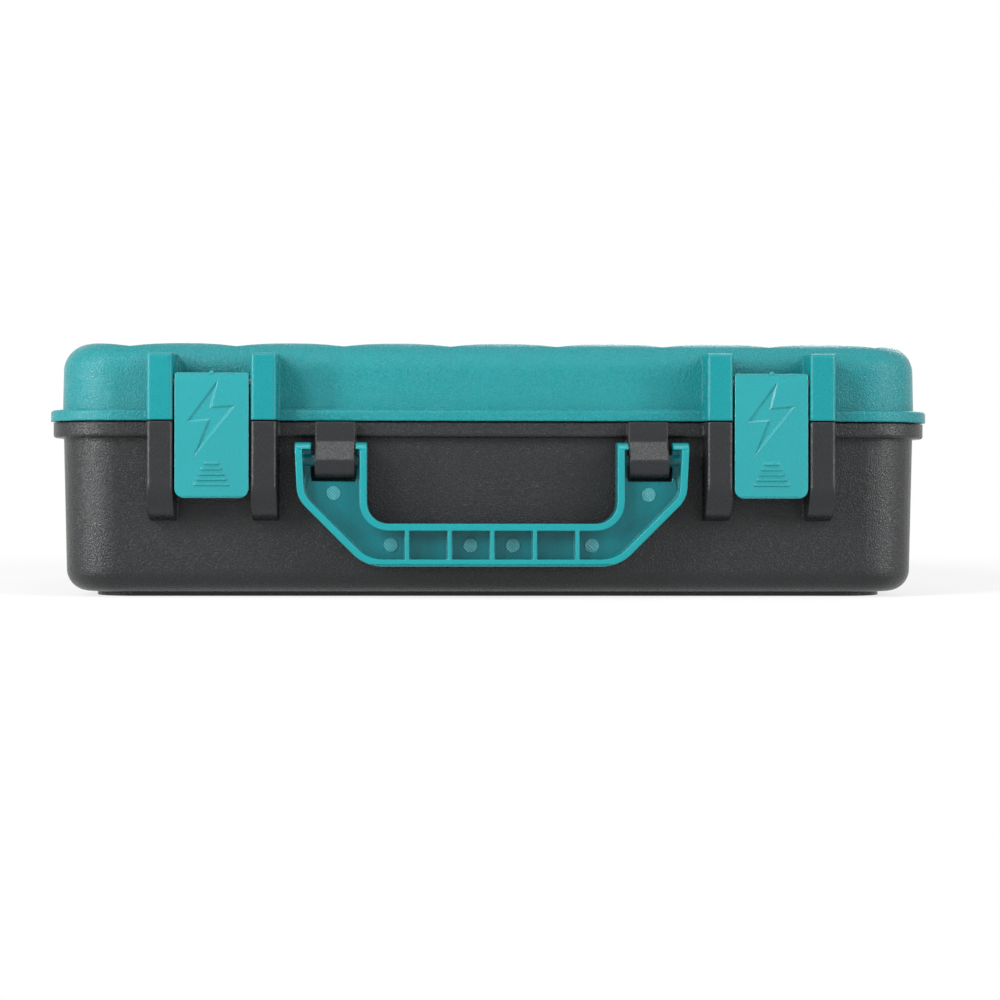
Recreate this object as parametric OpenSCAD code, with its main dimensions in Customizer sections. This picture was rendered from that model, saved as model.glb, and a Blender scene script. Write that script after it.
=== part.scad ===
// Hard tool case: a black base, a ribbed teal lid on a rear hinge, two draw latches between
// pairs of guard ribs, and a bail handle that swings in two brackets on the front.
// X is the width, the front faces -Y, and Z is up from the face that the case rests on.

/* [Case] */
// Width over the lid's rim
case_w = 380; // [350:1:420]
// Depth over the lid's rim
case_d = 300; // [270:1:330]
// Height of the base's rim above the surface
parting_z = 74.2; // [72:0.2:90]
// Height of the lid, from its rim to the crests of its ribs
lid_h = 33.6; // [32:0.1:42]
// Corner radius of the lid's rim, seen from above
corner_r = 30; // [26:1:40]
// Thickness of the moulded walls
wall = 2.5; // [2:0.1:3]
// Lean of the moulded walls, in degrees
draft = 1.3; // [0.5:0.1:2]
// Radius between the lid's walls and its top
lid_edge_r = 12; // [10:0.5:14]
// Radius between the base's walls and its floor
base_edge_r = 9.5; // [7:0.5:12]
// How far the base's wall lies inside the lid's wall
wall_step = 0.4; // [0.2:0.1:1]

/* [Rim] */
// How far the lid's rim stands out of its wall
rim_out = 5; // [4:0.1:6]
// Height of the lid's rim
lid_rim_h = 4.8; // [4:0.1:6]
// Height of the base's rim
base_rim_h = 6.4; // [5:0.1:7]
// How far the base's rim lies inside the lid's rim
rim_step = 1.1; // [0.5:0.1:2]
// Rounding of the rims' outer edges
rim_round = 1.4; // [0.8:0.1:2]
// Gap between the two rims when the case is shut
rim_gap = 0.6; // [0.4:0.1:1]
// Height of the locating lip above the base's rim
lip_h = 3; // [2:0.1:4]
// Thickness of the locating lip
lip_t = 1.3; // [1:0.1:2]
// Clearance between the lip and the lid's wall
lip_gap = 0.4; // [0.3:0.1:0.8]

/* [Foot] */
// Height of the plinth under the base
foot_h = 2; // [1:0.5:4]
// Distance from the base's wall to the plinth
foot_in = 12; // [10:1:20]
// Depth of the panels sunk into the plinth
foot_sink = 1.2; // [0.5:0.1:1.8]
// Width of the plinth's runners round those panels
foot_runner = 14; // [8:1:20]
// Corner radius of those panels
foot_panel_r = 6; // [3:1:10]

/* [Lid ribs] */
// Distance between the crowned ribs on the lid
rib_pitch = 45.5; // [40:0.5:50]
// Crown of each rib
rib_h = 1.6; // [0.8:0.1:2]
// Offset of the middle rib from the case's centre plane
rib_shift = 5.4; // [0:0.1:8]

/* [Latches] */
// Distance from the centre plane to a latch
latch_x = 117; // [105:1:140]
// Width of a latch
latch_w = 30.8; // [26:0.2:34]
// Height of a latch
latch_h = 52.4; // [50:0.2:56]
// Thickness of a latch's plate
latch_t = 2.6; // [2:0.1:3]
// Thickness of a latch's side flanges
latch_side_t = 2; // [1.5:0.1:2.5]
// How far a latch lies behind the guards' fronts
latch_in = 0.6; // [0:0.1:1.5]
// Gap between a latch and each guard
latch_gap = 0.8; // [0.4:0.1:1.5]
// Radius of a latch's lower corners
latch_corner_r = 4; // [2:0.5:6]
// Rounding of a latch's upper and lower front edges
latch_round = 0.9; // [0.4:0.1:1.5]
// How far a latch's upper end leans back
latch_bend = 0.6; // [0.2:0.1:1]
// Height of that leaning end
latch_bend_h = 4.2; // [3:0.1:6]
// Gap between a latch's flanges and the lid's rim
flange_gap = 2.2; // [1:0.1:3]
// Height of the flanges' lower ends above a latch's lower edge
flange_up = 6; // [4:0.5:8]
// Diameter of a latch pin
latch_pin_d = 3; // [2.5:0.1:4]
// Height of the latch pins above the lid's rim
latch_pin_up = 15.8; // [15:0.2:18]
// Wall of the barrel round a latch pin
barrel_wall = 1.9; // [1.4:0.1:2.2]
// Height of a latch's plate above its barrel
barrel_down = 0.5; // [0.2:0.1:1]
// Height of the raised bars on a latch
bar_h = 1.1; // [0.8:0.1:1.4]
// How far the bars stand out
bar_out = 0.5; // [0.3:0.1:0.8]
// Distance between the bars
bar_pitch = 2.18; // [1.8:0.02:2.4]
// Height of the lowest bar above a latch's lower edge
bar_up = 5.7; // [5:0.1:8]
// How far the catches stand out of the base's rim
catch_out = 4.1; // [3:0.1:4.5]
// Height of a catch's front
catch_h = 3; // [2:0.1:4]
// Distance from the base's rim down to a catch's underside
catch_drop = 2.2; // [1.5:0.1:3]
// Distance from a catch's ends to a latch's flanges
catch_in = 2.5; // [1.5:0.1:4]
// Height of the nose that closes under a catch
nose_h = 2.4; // [1.5:0.1:3]
// Height of that nose at its root
nose_root_h = 8.2; // [6:0.2:10]
// Gap between a shut latch's nose and its catch
nose_gap = 0.4; // [0.3:0.1:1]

/* [Guards] */
// Width of a guard rib
guard_w = 10.8; // [8:0.2:14]
// How far the guards stand out of the lid's wall
guard_out = 16; // [15:0.2:18]
// Height of the guards' upper ends above the lid's rim
guard_up = 28.1; // [24:0.1:30]
// Height at which the guards' lower ends curve back, above the surface
guard_bend_z = 48.5; // [40:0.1:52]
// Rounding of the guards' front edges
guard_round = 1.5; // [0.5:0.1:2.5]
// Rounding of the guards' upper ends
guard_top_r = 2; // [1:0.1:3]

/* [Handle] */
// Width of the handle
handle_w = 165.2; // [150:0.2:180]
// Width of the handle's ears outside the brackets
ear_w = 6.8; // [5:0.1:9]
// Width of the handle's ears inside the brackets
inner_ear_w = 4.7; // [4:0.1:7]
// Depth of the handle, front to back
handle_t = 13; // [11:0.5:14]
// Height of the handle's grip
grip_h = 17.9; // [14:0.1:22]
// Distance from the handle's pivot to its bottom edge
handle_reach = 44.3; // [43:0.1:48]
// Distance from the handle's pivot to its front
handle_out = 7.7; // [7:0.1:8.5]
// Height of the handle's ears above the pivot
ear_up = 7.7; // [6:0.1:8]
// Distance from the handle's pivot down to the foot of its notches
notch_drop = 8.6; // [8:0.1:11]
// How far each side of the handle narrows on its way down
side_lean = 1.2; // [0:0.1:3]
// Size of the handle's cut corners
corner_cut = 28.4; // [24:0.1:34]
// Radius between a side and its cut corner
side_r = 12; // [6:0.5:16]
// Radius between a cut corner and the bottom
bottom_r = 18; // [10:0.5:24]
// Radius in the corners of the grip opening
grip_r = 9; // [6:0.5:12]
// Rounding of the handle's back edges
handle_back_r = 3; // [1:0.5:4]
// Rounding of the ears' upper front edges
ear_r = 5; // [3:0.5:6]
// Thickness of the handle's outer and inner rims
handle_rim = 3; // [2:0.1:4]
// Thickness of the handle's web
web_t = 3; // [2:0.1:4]
// Depth of the channel in the handle's front
channel = 6.2; // [4:0.1:7]
// Distance between the ribs in the grip
grip_rib_pitch = 17.8; // [14:0.1:20]
// Thickness of the ribs in the grip
grip_rib_t = 1.8; // [1.2:0.1:2.5]
// Diameter of the handle's pivot stubs
stub_d = 5.6; // [4:0.1:6.5]
// Length of a pivot stub inside its bracket
stub_in = 7; // [4:0.5:8]

/* [Brackets] */
// Width of a bracket
bracket_w = 16.7; // [14:0.1:18]
// Gap between a bracket and the handle's outer ear
bracket_gap_out = 1.6; // [0.5:0.1:2]
// Gap between a bracket and the handle's inner ear
bracket_gap_in = 0.4; // [0.3:0.1:1]
// Height of the handle's pivot above the surface
pivot_z = 57.9; // [56:0.1:60]
// Distance from the handle's pivot to the base's wall
pivot_out = 8.8; // [8.5:0.1:10]
// Size of a bracket below and in front of the pivot
bracket_r = 7.1; // [6:0.1:7.5]
// How far a bracket's top stands out of the lid's rim
bracket_top_out = 4; // [3:0.1:6]
// Height of the upright face at a bracket's top
bracket_top_h = 8.1; // [6:0.1:10]
// How far a bracket's lower face leans back
bracket_tuck = 1.9; // [1:0.1:3]
// Rounding of a bracket's lower edge
bracket_round = 4; // [2:0.5:5]

/* [Hinges] */
// Distance from the centre plane to a hinge
hinge_x = 112; // [90:1:130]
// Width of a hinge
hinge_w = 46; // [36:1:60]
// Width of the lid's knuckle
lid_knuckle_w = 20; // [14:1:26]
// Radius of the knuckles
knuckle_r = 4.5; // [4:0.1:5]
// Clearance between the knuckles and the lid's rim
knuckle_gap = 0.7; // [0.5:0.1:1.2]
// Side clearance between the knuckles
knuckle_side = 0.4; // [0.3:0.1:1]
// Diameter of a hinge pin
hinge_pin_d = 3; // [2.5:0.1:4]
// Largest angle of the lid
lid_open = 105; // [95:1:110]
// Length of the heels that stop the lid there
heel_l = 6; // [5:0.5:7]
// Clearance left at the heels when the lid is open
heel_gap = 0.4; // [0.3:0.1:0.8]

/* [Tray] */
// Height of the tray's deck above the case's floor
tray_h = 55; // [50:1:60]
// Thickness of the tray
tray_t = 1.8; // [1.2:0.1:2.5]
// Gap between the tray and the base's wall
tray_gap = 1.3; // [0.4:0.1:2]
// Corner radius of the tray's pockets
pocket_r = 9; // [5:0.5:12]
// Width of the web between two pockets
pocket_web = 14; // [8:1:20]
// Depth of the pocket for the tool's body, front to back
body_pocket_d = 84; // [70:1:95]
// Width of the pocket for the tool's grip
grip_pocket_w = 66; // [50:1:75]
// Width of the pocket for the batteries
battery_pocket_w = 118; // [90:1:130]

/* [Hidden] */
$fn = 48;
fit = 0.05;      // radial clearance of a pin that turns
eps = 0.01;
seam = 0.02;     // an edge radius crosses its wall by this much, so that no face tapers to nothing
sink = 1;        // what grows out of a wall starts this deep inside it

lid_z = parting_z + rim_gap;
top_z = lid_z + lid_h;
base_h = parting_z - foot_h;
lid_wall_x = corner_r - rim_out;
base_wall_x = lid_wall_x - wall_step;
core_w = case_w - 2 * corner_r;
core_d = case_d - 2 * corner_r;
half_d = case_d / 2;
lean = tan(draft);
skin = wall / cos(draft);
flat_out = lid_wall_x - (lid_h - lid_edge_r) * lean - lid_edge_r / cos(draft);
rib_count = floor((core_w + 2 * flat_out) / rib_pitch);

lid_front = half_d - rim_out;
base_front = lid_front - wall_step;
base_rim_front = half_d - rim_step;
base_rim_z = parting_z - base_rim_h;
front = lid_front + guard_out;
guard_x = latch_w / 2 + latch_gap + guard_w / 2;
guard_l = guard_out + lid_edge_r;
guard_h = lid_z + guard_up - guard_bend_z;
latch_front = front - latch_in;
latch_plate = latch_front - latch_t;
latch_back = half_d + flange_gap;
latch_pin_z = lid_z + latch_pin_up;
barrel_r = latch_pin_d / 2 + barrel_wall;
latch_pin_out = latch_plate + sink - barrel_r;
latch_top_z = latch_pin_z + barrel_r + barrel_down;
latch_bottom_z = latch_top_z - latch_h;
bar_widths = [14.7, 12.5, 10.6, 8.4, 6.3];
catch_front = base_rim_front + catch_out;
catch_z = base_rim_z - catch_drop;
catch_w = latch_w - 2 * (latch_side_t + catch_in);
hook_w = catch_w - 2 * sink;
nose_z = catch_z - nose_h / 2;

pivot_front = base_front + pivot_out;
handle_front = pivot_front + handle_out;
handle_back = handle_front - handle_t;
handle_bottom = pivot_z - handle_reach;
handle_top = pivot_z + ear_up;
notch_z = pivot_z - notch_drop;
bracket_x = handle_w / 2 - ear_w - bracket_gap_out - bracket_w;
grip_clear = 2 * (bracket_x - bracket_gap_in - inner_ear_w);

axis_back = half_d + knuckle_r + knuckle_gap;
axis_z = parting_z + rim_gap / 2;
base_knuckle_w = (hinge_w - lid_knuckle_w) / 2 - knuckle_side;

floor_z = foot_h + wall;
tray_z = floor_z + tray_h;
tray_corner_r = base_wall_x - wall - tray_gap;
tray_w = core_w + 2 * (tray_corner_r - (parting_z - tray_z) * lean);
tray_d = tray_w - core_w + core_d;

lid_colour = "#2a9d9e";
latch_colour = "#3aa9ab";
base_colour = "#3c3d3f";
tray_colour = "#2b2c2e";
steel_colour = "#b9bcc0";

// Outline with its corners rounded: each corner is [x, y, radius]
function unit(v) = v / norm(v);
function arc_points(a, b, c, r, n = 8) =
    let (u = unit(a - b), v = unit(c - b), half = acos(u * v) / 2,
         centre = b + unit(u + v) * r / sin(half),
         from = b + u * r / tan(half) - centre, to = b + v * r / tan(half) - centre,
         turn = 180 - 2 * half, side = cross(from, to) > 0 ? 1 : -1)
    [for (i = [0:n]) let (t = side * turn * i / n)
        centre + [from[0] * cos(t) - from[1] * sin(t), from[0] * sin(t) + from[1] * cos(t)]];
function rounded(corners) =
    let (n = len(corners), p = [for (c = corners) [c[0], c[1]]])
    [for (i = [0:n - 1]) each corners[i][2] > 0
        ? arc_points(p[(i + n - 1) % n], p[i], p[(i + 1) % n], corners[i][2]) : [p[i]]];
function box_corners(w, d, r) =
    [[-w / 2, -d / 2, r], [w / 2, -d / 2, r], [w / 2, d / 2, r], [-w / 2, d / 2, r]];

module rounded_box(w, d, r) polygon(rounded(box_corners(w, d, r)));

// A side profile drawn as [distance out of the front, height], spread over a width
module front_profile(w) rotate([90, 0, -90]) linear_extrude(w, center = true) children();
// The same for the back, as [distance out of the back, height]
module back_profile(w) rotate([90, 0, 90]) linear_extrude(w, center = true) children();
// An outline seen from the front, as [x, height], between two distances out of the front
module front_plate(from, to) translate([0, -from, 0]) rotate([90, 0, 0]) linear_extrude(to - from) children();
module both_sides() for (s = [0, 1]) mirror([s, 0, 0]) children();

// Half section of a drafted tub: the mouth at 0, the closed side at h
module tub_section(mouth_x, h, r, from = 0) {
    cy = h - r;
    cx = mouth_x - cy * lean - r / cos(draft) + seam;
    polygon([[0, from], [mouth_x - from * lean, from],
             [mouth_x - (cy + r * sin(draft)) * lean, cy + r * sin(draft)], [cx, cy], [cx, h], [0, h]]);
    translate([cx, cy]) circle(r);
}

// Runs a half section round the case
module around() {
    for (sx = [0, 1], sy = [0, 1]) mirror([sx, 0, 0]) mirror([0, sy, 0])
        translate([core_w / 2, core_d / 2, 0]) rotate_extrude(angle = 90) children();
    for (s = [0, 1]) mirror([s, 0, 0])
        translate([core_w / 2, core_d / 2, 0]) rotate([90, 0, 0]) linear_extrude(core_d) children();
    for (s = [0, 1]) mirror([0, s, 0])
        translate([-core_w / 2, core_d / 2, 0]) rotate([90, 0, 90]) linear_extrude(core_w) children();
}

module core(h, from = 0) translate([0, 0, from]) linear_extrude(h - from)
    square([core_w, core_d], center = true);

module rim_section(x, h) {
    square([x - rim_round, h]);
    square([x, h - rim_round]);
    translate([x - rim_round, h - rim_round]) circle(rim_round);
}

module tub(mouth_x, h, r, rim_x, rim_h) {
    around() {
        tub_section(mouth_x, h, r);
        rim_section(rim_x, rim_h);
    }
    core(h);
}

module cavity(mouth_x, h, r) {
    around() tub_section(mouth_x - skin, h - wall, r - wall, -lip_h - 1);
    core(h - wall, -lip_h - 1);
}

// Both halves of a guard rib, whole, on the centre plane
module guard() intersection() {
    front_profile(guard_w) {
        translate([front - guard_out, guard_bend_z]) circle(guard_out);
        translate([front - guard_l, guard_bend_z]) polygon(rounded(
            [[0, 0, 0], [guard_l, 0, 0], [guard_l, guard_h, guard_top_r], [0, guard_h, 0]]));
    }
    translate([0, guard_l - front, 0]) linear_extrude(top_z) rounded_box(guard_w, 2 * guard_l, guard_round);
}

module guards(low, high) intersection() {
    both_sides() for (s = [-1, 1]) translate([latch_x + s * guard_x, 0, 0]) guard();
    translate([0, 0, (low + high) / 2]) cube([2 * case_w, 2 * case_d, high - low], center = true);
}

// ---- Base ----
module foot() {
    w = core_w + 2 * (base_wall_x - base_h * lean - foot_in);
    d = w - core_w + core_d;
    panel_w = (w - 3 * foot_runner) / 2;
    difference() {
        linear_extrude(foot_h + eps) rounded_box(w, d, corner_r - foot_in);
        for (s = [-1, 1]) translate([s * (panel_w + foot_runner) / 2, 0, -1])
            linear_extrude(foot_sink + 1) rounded_box(panel_w, d - 2 * foot_runner, foot_panel_r);
    }
}

module lip() translate([0, 0, parting_z]) around() {
    x = lid_wall_x - skin - lip_gap;
    root_x = base_wall_x - wall / 2;
    polygon([[x - lip_t, lip_h], [x - lip_t, -lip_h], [root_x, -2 * lip_h], [root_x, -eps], [x, -eps], [x, lip_h]]);
}

module bracket() translate([bracket_x + bracket_w / 2, 0, 0]) front_profile(bracket_w) polygon(rounded([
    [base_front - sink, pivot_z - bracket_r, 0], [base_front - sink, parting_z, 0],
    [half_d + bracket_top_out, parting_z, 0], [half_d + bracket_top_out, parting_z - bracket_top_h, 0],
    [pivot_front + bracket_r, pivot_z, 1],
    [pivot_front + bracket_r - bracket_tuck, pivot_z - bracket_r, bracket_round]]));

module catches() both_sides() translate([latch_x, 0, 0]) front_profile(catch_w) polygon([
    [base_front - sink, catch_z], [base_front - sink, parting_z - rim_round],
    [base_rim_front, parting_z - rim_round], [catch_front, catch_z + catch_h],
    [catch_front, catch_z + catch_h / 2], [catch_front - catch_h / 2, catch_z]]);

module base_knuckles() both_sides() for (s = [-1, 1])
    translate([hinge_x + s * (hinge_w - base_knuckle_w) / 2, 0, 0]) back_profile(base_knuckle_w) {
        translate([axis_back, axis_z]) circle(knuckle_r);
        polygon([[base_rim_front - rim_round - sink, base_rim_z], [base_rim_front - rim_round - sink, parting_z],
                 [axis_back, parting_z], [axis_back, axis_z - knuckle_r], [axis_back - knuckle_r, base_rim_z]]);
    }

module base_shell() color(base_colour) {
    difference() {
        union() {
            translate([0, 0, parting_z]) mirror([0, 0, 1])
                tub(base_wall_x, base_h, base_edge_r, corner_r - rim_step, base_rim_h);
            foot();
            guards(0, parting_z);
            both_sides() bracket();
            catches();
            base_knuckles();
        }
        translate([0, 0, parting_z]) mirror([0, 0, 1]) cavity(base_wall_x, base_h, base_edge_r);
        hinge_bore(hinge_pin_d / 2);
        both_sides() translate([bracket_x - sink, -pivot_front, pivot_z]) rotate([0, 90, 0])
            cylinder(h = bracket_w + 2 * sink, r = stub_d / 2 + fit);
    }
    lip();
}

module hinge_bore(r) both_sides() translate([hinge_x, axis_back, axis_z]) rotate([0, 90, 0])
    cylinder(h = hinge_w + 2 * sink, r = r, center = true);

// ---- Lid ----
// A rib of width w, crowned by h, with round ends that lap over the lid's edge radius
// The lid's top, seen from the front: crowned ribs side by side, which its edge radius cuts off at both sides
module rib_row() {
    r = (pow(rib_pitch / 2, 2) + pow(rib_h, 2)) / (2 * rib_h);
    for (i = [-2:rib_count + 1]) translate([rib_shift + (i - (rib_count - 1) / 2) * rib_pitch, top_z]) intersection() {
        translate([0, -r]) circle(r, $fn = 360);
        translate([-rib_pitch / 2, -lid_h - sink]) square([rib_pitch, lid_h + sink]);
    }
}

module lid_knuckles() both_sides() translate([hinge_x, 0, 0]) back_profile(lid_knuckle_w) {
    translate([axis_back, axis_z]) {
        circle(knuckle_r);
        // the heel, drawn as it meets the back of the base's rim when the lid is open
        rotate(lid_open) translate([heel_gap + base_rim_front - axis_back, -heel_l])
            square([axis_back - base_rim_front - heel_gap + sink, heel_l]);
    }
    polygon([[lid_front - sink, lid_z], [lid_front - sink, lid_z + lid_rim_h],
             [axis_back - knuckle_r, lid_z + lid_rim_h], [axis_back, axis_z + knuckle_r], [axis_back, lid_z]]);
}

module lid_shell() color(lid_colour) difference() {
    union() {
        intersection() {
            translate([0, 0, lid_z]) tub(lid_wall_x, lid_h + eps, lid_edge_r, corner_r, lid_rim_h);
            front_plate(-half_d - sink, half_d + sink) rib_row();
        }
        guards(lid_z, top_z);
        lid_knuckles();
    }
    translate([0, 0, lid_z]) cavity(lid_wall_x, lid_h - rib_h, lid_edge_r);
    hinge_bore(hinge_pin_d / 2 + fit);
    both_sides() latch_pin(sink);
}

// ---- Latches ----
module latch_pin(extra = 0) translate([latch_x, -latch_pin_out, latch_pin_z]) rotate([0, 90, 0])
    cylinder(h = 2 * guard_x + guard_w + 2 * extra, r = latch_pin_d / 2, center = true);

module latch_face() intersection() {
    front_plate(latch_plate, latch_front) polygon(rounded([
        [-latch_w / 2, latch_bottom_z, latch_corner_r], [latch_w / 2, latch_bottom_z, latch_corner_r],
        [latch_w / 2, latch_top_z, latch_round], [-latch_w / 2, latch_top_z, latch_round]]));
    front_profile(latch_w + sink) polygon(rounded([
        [latch_plate, latch_bottom_z, 0], [latch_front, latch_bottom_z, latch_round],
        [latch_front, latch_top_z - latch_bend_h, 0], [latch_front - latch_bend, latch_top_z, latch_round],
        [latch_plate, latch_top_z, 0]]));
}

module latch() translate([latch_x, 0, 0]) difference() {
    union() {
        latch_face();
        both_sides() translate([(latch_w - latch_side_t) / 2, 0, 0]) front_profile(latch_side_t) polygon([
            [latch_plate + eps, latch_bottom_z + flange_up], [latch_back, latch_bottom_z + 2 * flange_up],
            [latch_back, latch_pin_z], [latch_plate + eps, latch_pin_z]]);
        translate([0, -latch_pin_out, latch_pin_z]) rotate([0, 90, 0])
            cylinder(h = latch_w, r = barrel_r, center = true);
        front_profile(hook_w) polygon([
            [latch_plate + eps, nose_z - nose_root_h / 2], [latch_plate + eps, nose_z + nose_root_h / 2],
            [catch_front + nose_gap, nose_z + nose_h / 2], [catch_front + nose_gap, nose_z - nose_h / 2]]);
        for (i = [0:len(bar_widths) - 1]) front_plate(latch_front - eps, latch_front + bar_out)
            translate([0, latch_bottom_z + bar_up + i * bar_pitch]) square([bar_widths[i], bar_h], center = true);
    }
    translate([0, -latch_pin_out, latch_pin_z]) rotate([0, 90, 0])
        cylinder(h = latch_w + 2 * sink, r = latch_pin_d / 2 + fit, center = true);
}

module latch_left() color(latch_colour) mirror([1, 0, 0]) latch();
module latch_right() color(latch_colour) latch();
module latch_pin_right() color(steel_colour) latch_pin();
module latch_pin_left() color(steel_colour) mirror([1, 0, 0]) latch_pin();

// ---- Hinge pins ----
module hinge_pin() translate([hinge_x, axis_back, axis_z]) rotate([0, 90, 0])
    cylinder(h = hinge_w, r = hinge_pin_d / 2, center = true);
module hinge_pin_right() color(steel_colour) hinge_pin();
module hinge_pin_left() color(steel_colour) mirror([1, 0, 0]) hinge_pin();

// ---- Handle ----
module handle_outline() {
    side = handle_w / 2 - side_lean;
    cut_x = side - corner_cut;
    cut_z = handle_bottom + corner_cut;
    open_z = handle_bottom + grip_h;
    difference() {
        polygon(rounded([[-handle_w / 2, handle_top, 0], [-side, cut_z, side_r],
            [-cut_x, handle_bottom, bottom_r], [cut_x, handle_bottom, bottom_r],
            [side, cut_z, side_r], [handle_w / 2, handle_top, 0]]));
        polygon(rounded([[-grip_clear / 2, handle_top + grip_r, 0], [-grip_clear / 2, open_z, grip_r],
            [grip_clear / 2, open_z, grip_r], [grip_clear / 2, handle_top + grip_r, 0]]));
    }
}

// The part of the outline that is thinned to a web, between the ribs in the grip
module handle_hollow() difference() {
    offset(delta = -handle_rim) handle_outline();
    for (i = [-2:2]) translate([i * grip_rib_pitch - grip_rib_t / 2, handle_bottom])
        square([grip_rib_t, grip_h]);
}

module handle_notches() both_sides()
    translate([bracket_x - bracket_gap_in, -handle_front - sink, notch_z])
        cube([bracket_w + bracket_gap_in + bracket_gap_out, handle_t + 2 * sink, handle_top - notch_z + sink]);

module handle_stubs() both_sides() translate([0, -pivot_front, pivot_z]) rotate([0, 90, 0]) {
    ends = [grip_clear / 2 + handle_rim / 2, bracket_x + stub_in,
            bracket_x + bracket_w - stub_in, (handle_w - handle_rim) / 2];
    for (i = [0, 2]) translate([0, 0, ends[i]]) cylinder(h = ends[i + 1] - ends[i], r = stub_d / 2);
}

module handle() color(latch_colour) {
    difference() {
        intersection() {
            front_plate(handle_back, handle_front) handle_outline();
            front_profile(handle_w + sink) polygon(rounded([
                [handle_back, handle_bottom, handle_back_r], [handle_front, handle_bottom, sink],
                [handle_front, handle_top, ear_r], [handle_back, handle_top, handle_back_r]]));
        }
        front_plate(handle_front - channel, handle_front + sink) handle_hollow();
        front_plate(handle_back - sink, handle_front - channel - web_t) handle_hollow();
        handle_notches();
    }
    handle_stubs();
}

// ---- Tool tray ----
// Pockets as [x, y, width, depth], for a drill with its grip, batteries, charger and bits
tray_in_w = tray_w - 2 * pocket_web;
tray_in_d = tray_d - 2 * pocket_web;
low_pocket_d = tray_in_d - body_pocket_d - pocket_web;
charger_pocket_w = tray_in_w - battery_pocket_w - grip_pocket_w - 2 * pocket_web;
back_y = (tray_in_d - body_pocket_d) / 2;
front_y = -(tray_in_d - low_pocket_d) / 2;
grip_x = -tray_in_w / 2 + battery_pocket_w + pocket_web + grip_pocket_w / 2;
pockets = [
    [0, back_y, tray_in_w, body_pocket_d],
    [grip_x, front_y, grip_pocket_w, low_pocket_d],
    [(battery_pocket_w - tray_in_w) / 2, front_y, battery_pocket_w, low_pocket_d],
    [(tray_in_w - charger_pocket_w) / 2, front_y, charger_pocket_w, low_pocket_d]];

module pocket_plans(grow) {
    for (p = pockets) translate([p[0], p[1]])
        rounded_box(p[2] + 2 * grow, p[3] + 2 * grow, pocket_r + grow);
    // the grip's pocket opens into the body's
    translate([grip_x, back_y - (body_pocket_d + pocket_web) / 2])
        square([grip_pocket_w - 2 * pocket_r + 2 * grow, 3 * pocket_web], center = true);
}

module tool_tray() color(tray_colour) difference() {
    union() {
        translate([0, 0, tray_z - tray_t]) linear_extrude(tray_t)
            rounded_box(tray_w, tray_d, tray_corner_r);
        translate([0, 0, floor_z]) linear_extrude(tray_h) pocket_plans(tray_t);
    }
    translate([0, 0, floor_z + tray_t]) linear_extrude(tray_h) pocket_plans(0);
}

base_shell();
lid_shell();
handle();
latch_left();
latch_right();
latch_pin_left();
latch_pin_right();
hinge_pin_left();
hinge_pin_right();
tool_tray();
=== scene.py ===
"""Hard tool case, seen from the front: charcoal base, teal lid, two draw latches and a bail handle.

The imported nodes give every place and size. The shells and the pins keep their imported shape. The handle,
the tray and the latches are copies with rounded edges. The pictograms, gate nubs and ejector marks are
added here. Lengths are in metres.
"""
import math

import bmesh
import bpy
from mathutils import Matrix, Vector


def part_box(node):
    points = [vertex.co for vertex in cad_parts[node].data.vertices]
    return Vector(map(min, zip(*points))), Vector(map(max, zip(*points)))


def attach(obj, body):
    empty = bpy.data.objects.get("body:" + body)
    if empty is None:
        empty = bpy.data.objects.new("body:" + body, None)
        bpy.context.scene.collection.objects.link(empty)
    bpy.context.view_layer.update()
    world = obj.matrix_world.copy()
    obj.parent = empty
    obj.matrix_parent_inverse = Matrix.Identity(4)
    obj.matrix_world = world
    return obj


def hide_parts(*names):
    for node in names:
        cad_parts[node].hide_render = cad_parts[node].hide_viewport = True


MM = 0.001

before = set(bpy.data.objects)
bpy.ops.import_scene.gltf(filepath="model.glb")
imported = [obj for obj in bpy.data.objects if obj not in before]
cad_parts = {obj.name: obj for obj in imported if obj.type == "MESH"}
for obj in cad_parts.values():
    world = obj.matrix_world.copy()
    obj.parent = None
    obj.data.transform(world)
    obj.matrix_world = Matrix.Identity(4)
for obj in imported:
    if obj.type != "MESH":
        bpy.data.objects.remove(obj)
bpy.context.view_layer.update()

# ---- Sizes of what is added here ----
EDGE_ROUND = 0.35 * MM         # rounding of the moulded edges
TRAY_ROUND = 0.8 * MM          # and of a sheet drawn over a former
SHARP_ANGLE = math.radians(32)  # edges above this are rounded
CRISP_ANGLE = math.radians(24)  # edges above this stay crisp in the pictogram
BAR_HEIGHT = 0.5 * MM          # how far a latch's grip bars stand out
MARK_DEPTH = 0.7 * MM          # the pictogram sunk into each latch
MARK_SLOPE = 0.8 * MM          # how far its walls lean in on the way down
# corners of the pictogram, from the latch's centre and from its top edge, in mm
MARK_OUTLINE = (
    (2.9, -2.4), (0.1, -14.3), (10.1, -13.5), (-7.7, -35.4), (-1.6, -20.1), (-10.6, -20.7))
GATE_R = 0.9 * MM              # what a moulding gate leaves on a latch's top edge
GATE_BACK = 1.6 * MM           # its distance behind the latch's front
EJECTOR_R, EJECTOR_H = 3.0 * MM, 0.4 * MM
# where the ejector pins pressed on the handle's web, as (x, z) in mm
EJECTORS = (
    (-66.4, 44.2), (-42.4, 22.5), (-9.0, 22.3), (8.8, 22.3), (42.0, 22.3), (65.9, 43.6))
WEB_BACK = 6.2 * MM            # depth of the channel in the handle's front
FLOOR_GAP = 0.2 * MM           # keeps the floor off the face that the case rests on
GRAIN = 1650                   # grains per metre on the shells
SATIN_GRAIN = 2600             # and on the smoother pieces
WALL_FRONT = -0.151            # nothing of the walls stands in front of this along Y

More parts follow.
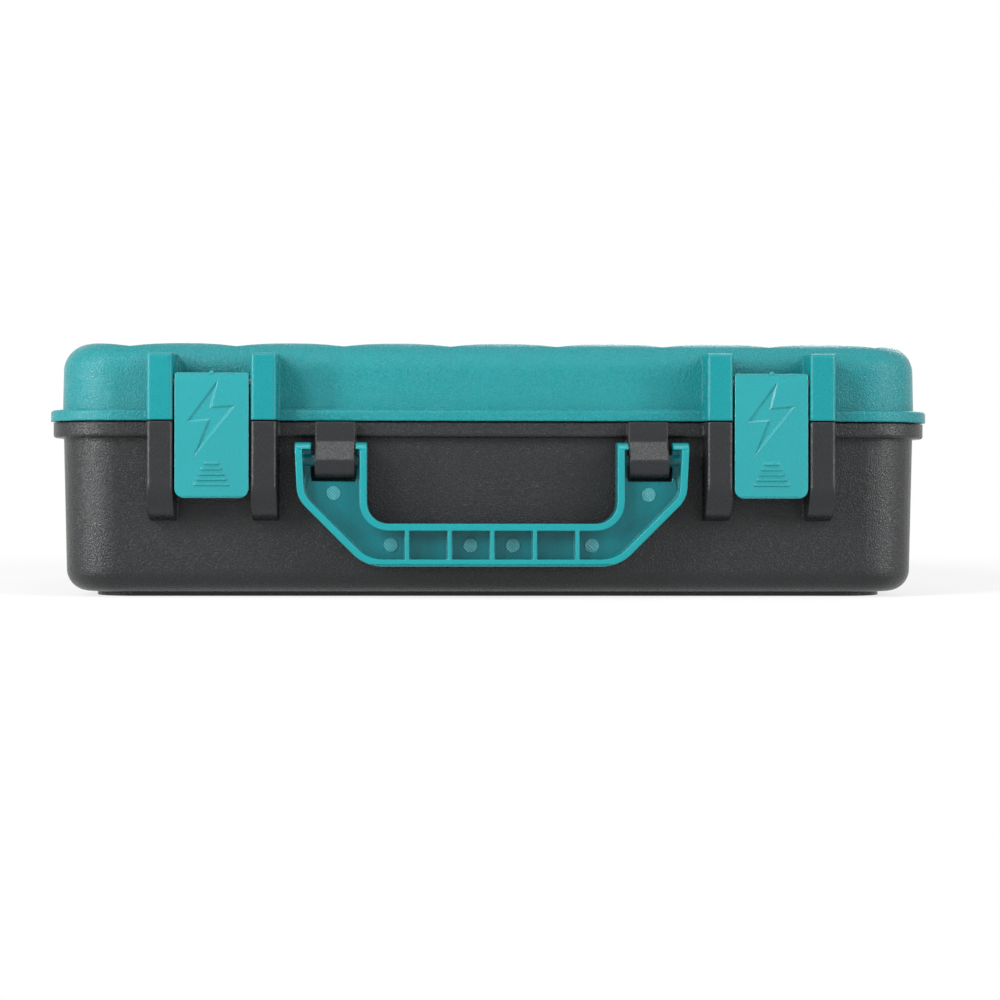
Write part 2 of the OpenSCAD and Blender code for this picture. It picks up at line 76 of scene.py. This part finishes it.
# ---- Colours, linear ----
LID_TEAL = (0.001, 0.172, 0.187)
SATIN_TEAL = (0.004, 0.196, 0.212)
# painted shade: the handle's web is darker than its rims because it lies shaded in a deep channel
SHADED_WEB_TEAL = (0.000, 0.112, 0.128)
PRESSED_TEAL = (0.035, 0.240, 0.258)
CHARCOAL = (0.010, 0.011, 0.012)
TRAY_BLACK = (0.022, 0.022, 0.024)
# painted shade: the steel is darker than bright drawn wire, so the pins stay dark in their shaded gaps
SHADE_DARKENED_STEEL = (0.22, 0.22, 0.23)


# ---- Materials ----
def material(name):
    """A new material, with its node tree and its shader."""
    mat = bpy.data.materials.new(name)
    mat.use_nodes = True
    return mat, mat.node_tree, mat.node_tree.nodes["Principled BSDF"]


def link(tree, out_socket, in_socket):
    tree.links.new(out_socket, in_socket)


def noise(tree, scale, detail=2.0, rough=0.5):
    """Noise on object coordinates; scale is in features per metre."""
    where = tree.nodes.new("ShaderNodeTexCoord")
    node = tree.nodes.new("ShaderNodeTexNoise")
    node.inputs["Scale"].default_value = scale
    node.inputs["Detail"].default_value = detail
    node.inputs["Roughness"].default_value = rough
    link(tree, where.outputs["Object"], node.inputs["Vector"])
    return node.outputs["Fac"]


def spread(tree, value, low, high, from_low=0.3, from_high=0.7):
    """A value from 0 to 1, spread to run from low to high."""
    node = tree.nodes.new("ShaderNodeMapRange")
    for name, number in (
            ("From Min", from_low), ("From Max", from_high), ("To Min", low), ("To Max", high)):
        node.inputs[name].default_value = number
    link(tree, value, node.inputs["Value"])
    return node.outputs["Result"]


def mix_colours(tree, fac):
    """A colour mix driven by fac, as its two colour inputs and its result."""
    node = tree.nodes.new("ShaderNodeMix")
    node.data_type = "RGBA"
    link(tree, fac, node.inputs["Factor"])
    first, second = (socket for socket in node.inputs if socket.type == "RGBA")
    result = next(socket for socket in node.outputs if socket.type == "RGBA")
    return first, second, result


def blend_colour(tree, fac, colour_at_0, colour_at_1):
    first, second, result = mix_colours(tree, fac)
    first.default_value = (*colour_at_0, 1)
    second.default_value = (*colour_at_1, 1)
    return result


def bump(tree, height, distance, strength, normal=None):
    node = tree.nodes.new("ShaderNodeBump")
    node.inputs["Distance"].default_value = distance
    node.inputs["Strength"].default_value = strength
    link(tree, height, node.inputs["Height"])
    if normal is not None:
        link(tree, normal, node.inputs["Normal"])
    return node.outputs["Normal"]


def maths(tree, operation, first, second):
    """Works out two values; the second may be a plain number."""
    node = tree.nodes.new("ShaderNodeMath")
    node.operation = operation
    link(tree, first, node.inputs[0])
    if isinstance(second, (int, float)):
        node.inputs[1].default_value = second
    else:
        link(tree, second, node.inputs[1])
    return node.outputs["Value"]


def pebbles(tree, scale):
    """A spark-eroded mould's grain: low rounded pebbles of uneven size."""
    coarse, fine = noise(tree, scale, 1, 0.4), noise(tree, 2.3 * scale, 1, 0.4)
    mix = maths(tree, "ADD", maths(tree, "MULTIPLY", fine, 0.35), coarse)
    return spread(tree, mix, 0, 1, 0.45, 0.90)


def soft_edges(tree, radius):
    """The normal of edges that a mould leaves slightly round."""
    node = tree.nodes.new("ShaderNodeBevel")
    node.samples = 6
    node.inputs["Radius"].default_value = radius
    return node.outputs["Normal"]


def along_y(tree):
    """The place along Y, from front to back."""
    where = tree.nodes.new("ShaderNodeTexCoord")
    parts = tree.nodes.new("ShaderNodeSeparateXYZ")
    link(tree, where.outputs["Object"], parts.inputs["Vector"])
    return parts.outputs["Y"]


def moulded_plastic(name, colour, *, grain, grain_depth, gloss, rough, tone, edge=0.0, hollow_shade=0.0,
                    smooth_front=None):
    """Injection-moulded plastic: a mould's grain and slightly round edges, and soft changes of tone.

    rough runs from low to high over the grain. A painted shade darkens the grain's hollows and a painted
    highlight pales its crests. What stands in front of smooth_front along Y, as guards and brackets do, has
    a quarter of the grain, less of that painted shade and highlight, and reflects less sharply.
    """
    mat, tree, shader = material(name)
    darker, lighter = (tuple(c * share for c in colour) for share in (1 - tone, 1 + tone))
    fine = pebbles(tree, grain)
    # painted shade in the grain's hollows and painted highlight on its crests, scaling the colour
    hollow_shading = spread(tree, fine, 1 - hollow_shade, 1 + 0.6 * hollow_shade, 0, 1)
    shaded = tree.nodes.new("ShaderNodeVectorMath")
    shaded.operation = "SCALE"
    link(tree, blend_colour(tree, noise(tree, 28, 3), darker, lighter), shaded.inputs[0])
    link(tree, hollow_shading, shaded.inputs["Scale"])
    link(tree, shaded.outputs["Vector"], shader.inputs["Base Color"])
    roughness = spread(tree, fine, *rough)
    broad = bump(tree, noise(tree, 60, 2), 0.4 * MM, 0.07, soft_edges(tree, edge) if edge else None)
    normal = bump(tree, fine, grain_depth, 1.0, broad)
    if smooth_front is not None:
        walls = spread(tree, along_y(tree), 0.25, 1, smooth_front - MM, smooth_front + MM)
        link(tree, walls, normal.node.inputs["Strength"])
        # less of the grain's painted shade and highlight in front of smooth_front
        shaded_hollows = spread(tree, walls, 1 - 0.2 * hollow_shade, 1 - hollow_shade, 0.25, 1)
        lit_crests = spread(tree, walls, 1 + 0.1 * hollow_shade, 1 + 0.6 * hollow_shade, 0.25, 1)
        link(tree, shaded_hollows, hollow_shading.node.inputs["To Min"])
        link(tree, lit_crests, hollow_shading.node.inputs["To Max"])
        roughness = maths(tree, "MULTIPLY", roughness, spread(tree, walls, 1.1, 1, 0.25, 1))
    link(tree, roughness, shader.inputs["Roughness"])
    link(tree, normal, shader.inputs["Normal"])
    shader.inputs["Specular IOR Level"].default_value = gloss
    return mat


def paint_channel_shade(mat, shaded_colour, front_y, back_y):
    """Paints shade onto a plastic where its channel is deep: darker between two distances along Y."""
    tree = mat.node_tree
    shader = tree.nodes["Principled BSDF"]
    front_colour = shader.inputs["Base Color"].links[0].from_socket
    depth = spread(tree, along_y(tree), 0, 1, front_y, back_y)
    front, back, result = mix_colours(tree, depth)
    link(tree, front_colour, front)
    back.default_value = (*shaded_colour, 1)
    link(tree, result, shader.inputs["Base Color"])


def milled_pin_print(name):
    """The print of an ejector pin's milled end: fine slanting lines, a little paler than the web."""
    mat, tree, shader = material(name)
    where = tree.nodes.new("ShaderNodeTexCoord")
    lines = tree.nodes.new("ShaderNodeTexWave")
    lines.bands_direction = "DIAGONAL"
    for socket, number in (("Scale", 460), ("Distortion", 2.5), ("Detail", 2.0), ("Detail Scale", 1.5)):
        lines.inputs[socket].default_value = number
    link(tree, where.outputs["Object"], lines.inputs["Vector"])
    worn = maths(tree, "MULTIPLY", lines.outputs["Fac"], spread(tree, noise(tree, 500, 2), 0.5, 1))
    paler = spread(tree, worn, 0.3, 1, 0, 1)
    # the darker lines take the web's painted-shade colour
    link(tree, blend_colour(tree, paler, SHADED_WEB_TEAL, PRESSED_TEAL), shader.inputs["Base Color"])
    link(tree, bump(tree, worn, 0.15 * MM, 1.0), shader.inputs["Normal"])
    shader.inputs["Roughness"].default_value = 0.35
    shader.inputs["Specular IOR Level"].default_value = 0.5
    return mat


def drawn_steel(name):
    """Drawn wire, darkened as painted shade for the shaded gaps the pins sit in, with fine lines along X.
    """
    mat, tree, shader = material(name)
    shader.inputs["Base Color"].default_value = (*SHADE_DARKENED_STEEL, 1)
    shader.inputs["Metallic"].default_value = 1.0
    where = tree.nodes.new("ShaderNodeTexCoord")
    stretch = tree.nodes.new("ShaderNodeMapping")
    stretch.inputs["Scale"].default_value = (60, 4000, 4000)
    lines = tree.nodes.new("ShaderNodeTexNoise")
    lines.inputs["Scale"].default_value = 1.0
    link(tree, where.outputs["Object"], stretch.inputs["Vector"])
    link(tree, stretch.outputs["Vector"], lines.inputs["Vector"])
    link(tree, spread(tree, lines.outputs["Fac"], 0.25, 0.45), shader.inputs["Roughness"])
    return mat


LID_PLASTIC = moulded_plastic(
    "lid_grained_plastic", LID_TEAL, grain=GRAIN, grain_depth=0.15 * MM, gloss=0.28, rough=(0.21, 0.34),
    tone=0.06, edge=1.2 * MM, hollow_shade=0.12, smooth_front=WALL_FRONT)
BASE_PLASTIC = moulded_plastic(
    "base_grained_plastic", CHARCOAL, grain=GRAIN, grain_depth=0.12 * MM, gloss=0.33, rough=(0.22, 0.35),
    tone=0.12, edge=1.2 * MM, hollow_shade=0.2, smooth_front=WALL_FRONT)
LATCH_PLASTIC = moulded_plastic(
    "latch_satin_plastic", SATIN_TEAL, grain=SATIN_GRAIN, grain_depth=0.02 * MM, gloss=0.5,
    rough=(0.20, 0.30), tone=0.05, edge=0.4 * MM)
HANDLE_PLASTIC = moulded_plastic(
    "handle_satin_plastic", SATIN_TEAL, grain=SATIN_GRAIN, grain_depth=0.02 * MM, gloss=0.28,
    rough=(0.18, 0.28), tone=0.06, edge=0.9 * MM)
PRESSED_PLASTIC = milled_pin_print("ejector_mark_plastic")
TRAY_PLASTIC = moulded_plastic(
    "tray_formed_sheet", TRAY_BLACK, grain=900, grain_depth=0.05 * MM, gloss=0.4, rough=(0.55, 0.70),
    tone=0.15)
STEEL = drawn_steel("drawn_steel")


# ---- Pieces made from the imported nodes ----
def node_mesh(node):
    """A closed copy of a node's mesh, with its flat faces joined."""
    bm = bmesh.new()
    bm.from_mesh(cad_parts[node].data)
    bmesh.ops.remove_doubles(bm, verts=bm.verts, dist=0.002 * MM)
    bmesh.ops.dissolve_limit(bm, angle_limit=math.radians(0.5), verts=bm.verts, edges=bm.edges)
    bmesh.ops.dissolve_degenerate(bm, dist=0.01 * MM, edges=bm.edges)
    bmesh.ops.connect_verts_concave(bm, faces=bm.faces)
    return bm


def piece_from(bm, name, body, mat):
    """Ends a mesh being built as a smooth-shaded piece that rides on a body."""
    for face in bm.faces:
        face.smooth = True
    mesh = bpy.data.meshes.new(name)
    bm.to_mesh(mesh)
    bm.free()
    piece = bpy.data.objects.new(name, mesh)
    bpy.context.scene.collection.objects.link(piece)
    mesh.materials.append(mat)
    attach(piece, body)
    return piece


def round_edges(piece, width, segments=2):
    """Rounds the sharp edges, as a mould leaves them."""
    bevel = piece.modifiers.new("edge_rounding", "BEVEL")
    bevel.width = width
    bevel.segments = segments
    bevel.limit_method = "ANGLE"
    bevel.angle_limit = SHARP_ANGLE
    bevel.use_clamp_overlap = False
    bevel.miter_outer = "MITER_ARC"


def even_shading(piece):
    """Keeps large flat faces flat next to their rounded edges."""
    flat = piece.modifiers.new("even_shading", "WEIGHTED_NORMAL")
    flat.weight = 100
    flat.keep_sharp = True


def solve(piece):
    """Turns what the modifiers give into the piece's plain mesh."""
    bpy.context.view_layer.update()
    solved = bpy.data.meshes.new_from_object(piece.evaluated_get(bpy.context.evaluated_depsgraph_get()))
    piece.modifiers.clear()
    old = piece.data
    piece.data = solved
    bpy.data.meshes.remove(old)


def rounded_copy(node, body, mat, width):
    """A copy of a node with rounded edges, which is shown in its place."""
    piece = piece_from(node_mesh(node), node + "_moulded", body, mat)
    round_edges(piece, width)
    even_shading(piece)
    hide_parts(node)


# ---- Latches ----
def cut(piece, cutter):
    """Takes the cutter's shape out of the piece and removes the cutter."""
    hole = piece.modifiers.new("cut", "BOOLEAN")
    hole.operation = "DIFFERENCE"
    hole.solver = "EXACT"
    hole.object = cutter
    solve(piece)
    bpy.data.objects.remove(cutter)


def inset(outline, distance):
    """The corners of a closed outline, run clockwise, with each side moved inwards."""
    moved = []
    count = len(outline)
    for i in range(count):
        before, here, after = (Vector(outline[(i + k - 1) % count]) for k in range(3))
        first, second = (here - before).normalized(), (after - here).normalized()
        in_first, in_second = Vector((first.y, -first.x)), Vector((second.y, -second.x))
        along = distance * (1 - in_first.dot(in_second)) / first.dot(in_second)
        moved.append(here + in_first * distance + first * along)
    return moved


def wedge(name, rings):
    """A closed solid through rings of points, all with the same count."""
    bm = bmesh.new()
    loops = [[bm.verts.new(point) for point in ring] for ring in rings]
    bm.faces.new(loops[0])
    bm.faces.new(list(reversed(loops[-1])))
    count = len(loops[0])
    for first, second in zip(loops, loops[1:]):
        for i in range(count):
            j = (i + 1) % count
            bm.faces.new((first[i], second[i], second[j], first[j]))
    bmesh.ops.recalc_face_normals(bm, faces=bm.faces)
    mesh = bpy.data.meshes.new(name)
    bm.to_mesh(mesh)
    bm.free()
    made = bpy.data.objects.new(name, mesh)
    bpy.context.scene.collection.objects.link(made)
    return made


def plate_front(node):
    """The plane of a latch's plate, behind its raised bars."""
    low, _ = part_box(node)
    return low.y + BAR_HEIGHT


def latch(node, body):
    """A latch with rounded edges, its pictogram sunk in and a gate nub on its top edge."""
    low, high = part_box(node)
    centre = (low.x + high.x) / 2
    piece = piece_from(node_mesh(node), node + "_moulded", body, LATCH_PLASTIC)
    outline = [(centre + x * MM, high.z + z * MM) for x, z in MARK_OUTLINE]
    front = plate_front(node)
    rings = []
    for y, distance in ((front - MARK_DEPTH, -MARK_SLOPE), (front + MARK_DEPTH, MARK_SLOPE)):
        rings.append([(x, y, z) for x, z in inset(outline, distance)])
    round_edges(piece, EDGE_ROUND, segments=4)
    solve(piece)
    cut(piece, wedge("mark_cutter", rings))
    split = piece.modifiers.new("crisp_mark", "EDGE_SPLIT")
    split.split_angle = CRISP_ANGLE
    even_shading(piece)
    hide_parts(node)
    gate = (centre, low.y + GATE_BACK, high.z)
    marks(node + "_gate", [gate], GATE_R, 2 * GATE_R, LATCH_PLASTIC, body)


# ---- Marks that moulding leaves ----
def marks_tree():
    """Short round pads, one on each point, that face out of the front."""
    tree = bpy.data.node_groups.new("moulding_marks", "GeometryNodeTree")
    for name, kind in (("Points", "NodeSocketGeometry"), ("Radius", "NodeSocketFloat"),
                       ("Height", "NodeSocketFloat"), ("Material", "NodeSocketMaterial")):
        tree.interface.new_socket(name, in_out="INPUT", socket_type=kind)
    tree.interface.new_socket("Marks", in_out="OUTPUT", socket_type="NodeSocketGeometry")
    given, out = tree.nodes.new("NodeGroupInput"), tree.nodes.new("NodeGroupOutput")
    pad = tree.nodes.new("GeometryNodeMeshCylinder")
    pad.inputs["Vertices"].default_value = 32
    place = tree.nodes.new("GeometryNodeInstanceOnPoints")
    place.inputs["Rotation"].default_value = (math.pi / 2, 0, 0)
    real = tree.nodes.new("GeometryNodeRealizeInstances")
    finish = tree.nodes.new("GeometryNodeSetMaterial")
    for source, target in (
            (given.outputs["Radius"], pad.inputs["Radius"]),
            (given.outputs["Height"], pad.inputs["Depth"]),
            (given.outputs["Points"], place.inputs["Points"]),
            (pad.outputs["Mesh"], place.inputs["Instance"]),
            (place.outputs["Instances"], real.inputs["Geometry"]),
            (real.outputs["Geometry"], finish.inputs["Geometry"]),
            (given.outputs["Material"], finish.inputs["Material"]),
            (finish.outputs["Geometry"], out.inputs["Marks"])):
        link(tree, source, target)
    return tree


def marks(name, points, radius, height, mat, body):
    """Round pads at the points, as one plain mesh that rides on a body."""
    mesh = bpy.data.meshes.new(name)
    mesh.from_pydata(points, [], [])
    seed = bpy.data.objects.new(name, mesh)
    bpy.context.scene.collection.objects.link(seed)
    grown = seed.modifiers.new("marks", "NODES")
    grown.node_group = MARKS_TREE
    values = {"Radius": radius, "Height": height, "Material": mat}
    for item in MARKS_TREE.interface.items_tree:
        if item.item_type == "SOCKET" and item.in_out == "INPUT" and item.name in values:
            grown[item.identifier] = values[item.name]
    bpy.context.view_layer.update()
    solved = bpy.data.meshes.new_from_object(seed.evaluated_get(bpy.context.evaluated_depsgraph_get()))
    seed.modifiers.clear()
    seed.data = solved
    bpy.data.meshes.remove(mesh)
    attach(seed, body)
    round_edges(seed, min(radius, height) * 0.4)
    even_shading(seed)


def handle_marks():
    """The prints that ejector pins leave on the web of the handle."""
    low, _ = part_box("handle")
    web = low.y + WEB_BACK
    points = [(x * MM, web - EJECTOR_H / 4, z * MM) for x, z in EJECTORS]
    marks("handle_ejector_marks", points, EJECTOR_R, EJECTOR_H, PRESSED_PLASTIC, "handle")


# ---- The studio ----
def area_light(name, place, width, height, watts, aim=(0, -0.13, 0.06)):
    """A rectangular softbox that faces a point on the case."""
    data = bpy.data.lights.new(name, "AREA")
    data.shape = "RECTANGLE"
    data.size, data.size_y, data.energy = width, height, watts
    lamp = bpy.data.objects.new(name, data)
    bpy.context.scene.collection.objects.link(lamp)
    lamp.location = place
    lamp.rotation_euler = (Vector(aim) - Vector(place)).to_track_quat("-Z", "Y").to_euler()


def seen(tree):
    """1 for rays from the camera, in reflections and through glass, else 0."""
    path = tree.nodes.new("ShaderNodeLightPath")
    total = path.outputs["Is Camera Ray"]
    for other in ("Is Glossy Ray", "Is Transmission Ray"):
        total = maths(tree, "MAXIMUM", total, path.outputs[other])
    return total


def white_world(strength):
    """Even studio light, with plain white behind the object."""
    world = bpy.data.worlds.new("studio")
    bpy.context.scene.world = world
    world.use_nodes = True
    tree = world.node_tree
    tree.nodes.clear()
    out = tree.nodes.new("ShaderNodeOutputWorld")
    mix = tree.nodes.new("ShaderNodeMixShader")
    link(tree, seen(tree), mix.inputs["Fac"])
    for socket, level in ((1, strength), (2, 1.0)):
        plain = tree.nodes.new("ShaderNodeBackground")
        plain.inputs["Color"].default_value = (1, 1, 1, 1)
        plain.inputs["Strength"].default_value = level
        link(tree, plain.outputs["Background"], mix.inputs[socket])
    link(tree, mix.outputs["Shader"], out.inputs["Surface"])


def pale_floor(shadow_reach):
    """A pale floor that keeps the shadow round the object and runs out into plain white."""
    bm = bmesh.new()
    down = Matrix.Translation((0, 0, -FLOOR_GAP))
    bmesh.ops.create_grid(bm, x_segments=1, y_segments=1, size=8, matrix=down)
    mesh = bpy.data.meshes.new("floor")
    bm.to_mesh(mesh)
    bm.free()
    floor = bpy.data.objects.new("floor", mesh)
    bpy.context.scene.collection.objects.link(floor)
    mat, tree, shader = material("pale_floor")
    shader.inputs["Base Color"].default_value = (0.86, 0.86, 0.86, 1)
    shader.inputs["Roughness"].default_value = 0.9
    shader.inputs["Specular IOR Level"].default_value = 0.1
    white = tree.nodes.new("ShaderNodeEmission")
    where = tree.nodes.new("ShaderNodeTexCoord")
    reach = tree.nodes.new("ShaderNodeVectorMath")
    reach.operation = "LENGTH"
    link(tree, where.outputs["Object"], reach.inputs[0])
    faded = spread(tree, reach.outputs["Value"], 0.75, 1, shadow_reach / 2, shadow_reach)
    mix = tree.nodes.new("ShaderNodeMixShader")
    link(tree, maths(tree, "MULTIPLY", seen(tree), faded), mix.inputs["Fac"])
    link(tree, shader.outputs["BSDF"], mix.inputs[1])
    link(tree, white.outputs["Emission"], mix.inputs[2])
    link(tree, mix.outputs["Shader"], tree.nodes["Material Output"].inputs["Surface"])
    mesh.materials.append(mat)


def camera():
    """Level with the case and close to its centre line, about 0.93 m in front of it."""
    data = bpy.data.cameras.new("camera")
    data.sensor_width = 36
    data.lens = 79.6
    data.shift_x, data.shift_y = 0.0176, -0.0121
    data.clip_start, data.clip_end = 0.05, 30
    eye = bpy.data.objects.new("camera", data)
    bpy.context.scene.collection.objects.link(eye)
    yaw, level, roll = (Matrix.Rotation(angle, 4, axis) for angle, axis in (
        (-0.0244, "Z"), (math.pi / 2, "X"), (0.0013, "Z")))
    eye.matrix_world = Matrix.Translation((-0.0267, -1.0833, 0.0465)) @ yaw @ level @ roll
    bpy.context.scene.camera = eye


def studio():
    """Two softboxes high in front, two strips low at the sides, and faint light from above and behind."""
    bpy.context.scene.view_settings.view_transform = "Standard"
    camera()
    white_world(strength=0.12)
    pale_floor(shadow_reach=0.6)
    area_light("left_softbox", (-1.15, -1.45, 1.15), 0.40, 0.8, 28)
    area_light("right_softbox", (1.35, -1.50, 1.15), 0.40, 0.8, 17)
    area_light("left_strip", (-1.50, -1.00, 0.35), 0.25, 0.9, 32)
    area_light("right_strip", (1.55, -1.05, 0.35), 0.25, 0.9, 20)
    area_light("overhead", (0.0, -0.55, 1.9), 1.2, 0.5, 9)
    area_light("back_fill", (0.5, 1.5, 0.9), 0.9, 0.6, 8, aim=(0, 0.1, 0.05))


# ---- The case ----
MARKS_TREE = marks_tree()


def dress(node, mat):
    """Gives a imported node, whose shape is right, its finish."""
    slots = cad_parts[node].data.materials
    slots.clear()
    slots.append(mat)


dress("base_shell", BASE_PLASTIC)
dress("lid_shell", LID_PLASTIC)
handle_low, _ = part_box("handle")
# painted shade on the handle's web, darkening it towards the back of its channel
paint_channel_shade(HANDLE_PLASTIC, SHADED_WEB_TEAL, handle_low.y + 0.2 * WEB_BACK, handle_low.y + 0.8 * WEB_BACK)
rounded_copy("handle", "handle", HANDLE_PLASTIC, EDGE_ROUND)
handle_marks()
rounded_copy("tool_tray", "base", TRAY_PLASTIC, TRAY_ROUND)
latch("latch_left", "latch_l")
latch("latch_right", "latch_r")
for pin in ("latch_pin_left", "latch_pin_right", "hinge_pin_left", "hinge_pin_right"):
    dress(pin, STEEL)
studio()
